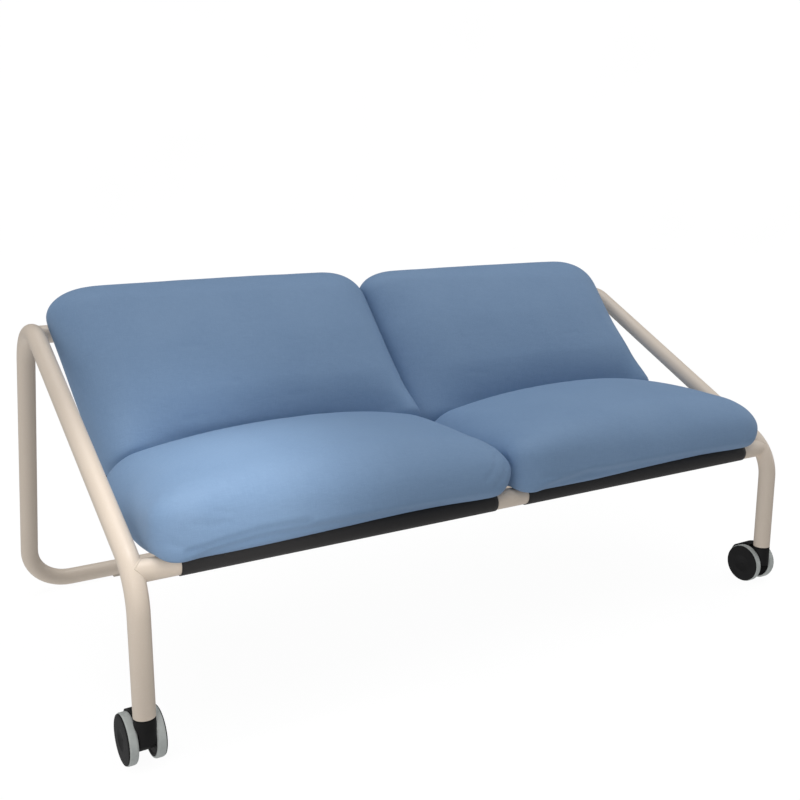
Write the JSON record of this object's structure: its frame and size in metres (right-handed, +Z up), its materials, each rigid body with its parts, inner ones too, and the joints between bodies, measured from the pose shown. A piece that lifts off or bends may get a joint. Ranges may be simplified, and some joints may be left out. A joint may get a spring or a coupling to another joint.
{
  "type": "office sofa",
  "caption": "Low tubular-steel office sofa: soft seat and back cushions on fabric slings between cross rails, sled rear legs, braked twin-wheel castors in front.",
  "frame": {"origin": "centre of the overall box, on the floor", "axes": "+X across the width, to the right seen from the front; -Y to the front; +Z up"},
  "size_m": [1.3466, 0.7742, 0.6279],
  "materials": {
    "frame_coat": "satin",
    "cushion_fabric": "matte",
    "foam": "matte",
    "sling_fabric": "matte",
    "hook_and_loop": "matte",
    "castor_plastic": "satin",
    "tread_rubber": "matte",
    "glide_plastic": "matte",
    "steel": "satin"
  },
  "bodies": {
    "frame": {"left_side_tube": "frame_coat", "right_side_tube": "frame_coat", "rear_floor_tube": "frame_coat", "front_rail": "frame_coat", "top_rail": "frame_coat", "rear_leg_spigots": "steel", "floor_glides": "glide_plastic", "left_sling": "sling_fabric", "right_sling": "sling_fabric", "sling_closure_strips": "hook_and_loop", "left_seat_cover": "cushion_fabric", "left_seat_core": "foam", "left_back_cover": "cushion_fabric", "left_back_core": "foam", "right_seat_cover": "cushion_fabric", "right_seat_core": "foam", "right_back_cover": "cushion_fabric", "right_back_core": "foam", "left_castor_socket": "castor_plastic", "right_castor_socket": "castor_plastic"},
    "left_castor": {"left_castor_housing": "castor_plastic", "left_castor_stem": "steel", "left_castor_axle": "steel", "left_castor_pedal_pin": "steel"},
    "left_outer_wheel": {"left_castor_outer_hub": "castor_plastic", "left_castor_outer_tread": "tread_rubber"},
    "left_inner_wheel": {"left_castor_inner_hub": "castor_plastic", "left_castor_inner_tread": "tread_rubber"},
    "left_brake": {"left_castor_brake_pedal": "castor_plastic"},
    "right_castor": {"right_castor_housing": "castor_plastic", "right_castor_stem": "steel", "right_castor_axle": "steel", "right_castor_pedal_pin": "steel"},
    "right_outer_wheel": {"right_castor_outer_hub": "castor_plastic", "right_castor_outer_tread": "tread_rubber"},
    "right_inner_wheel": {"right_castor_inner_hub": "castor_plastic", "right_castor_inner_tread": "tread_rubber"},
    "right_brake": {"right_castor_brake_pedal": "castor_plastic"}
  },
  "joints": [
    {"name": "left_castor_swivel", "type": "hinge", "parent": "frame", "child": "left_castor", "pos_m": [-0.64525, -0.36691, 0.077], "axis": [0, 0, 1], "continuous": true},
    {"name": "left_outer_wheel_spin", "type": "hinge", "parent": "left_castor", "child": "left_outer_wheel", "pos_m": [-0.66575, -0.34292, 0.0375], "axis": [1, 0, 0], "continuous": true},
    {"name": "left_inner_wheel_spin", "type": "hinge", "parent": "left_castor", "child": "left_inner_wheel", "pos_m": [-0.62475, -0.34292, 0.0375], "axis": [1, 0, 0], "continuous": true},
    {"name": "left_brake_press", "type": "hinge", "parent": "left_castor", "child": "left_brake", "pos_m": [-0.64525, -0.34492, 0.066], "axis": [-1, 0, 0], "range_deg": [0, 9]},
    {"name": "right_castor_swivel", "type": "hinge", "parent": "frame", "child": "right_castor", "pos_m": [0.64525, -0.36691, 0.077], "axis": [0, 0, 1], "continuous": true},
    {"name": "right_outer_wheel_spin", "type": "hinge", "parent": "right_castor", "child": "right_outer_wheel", "pos_m": [0.66575, -0.34292, 0.0375], "axis": [1, 0, 0], "continuous": true},
    {"name": "right_inner_wheel_spin", "type": "hinge", "parent": "right_castor", "child": "right_inner_wheel", "pos_m": [0.62475, -0.34292, 0.0375], "axis": [1, 0, 0], "continuous": true},
    {"name": "right_brake_press", "type": "hinge", "parent": "right_castor", "child": "right_brake", "pos_m": [0.64525, -0.34492, 0.066], "axis": [-1, 0, 0], "range_deg": [0, 9]}
  ]
}
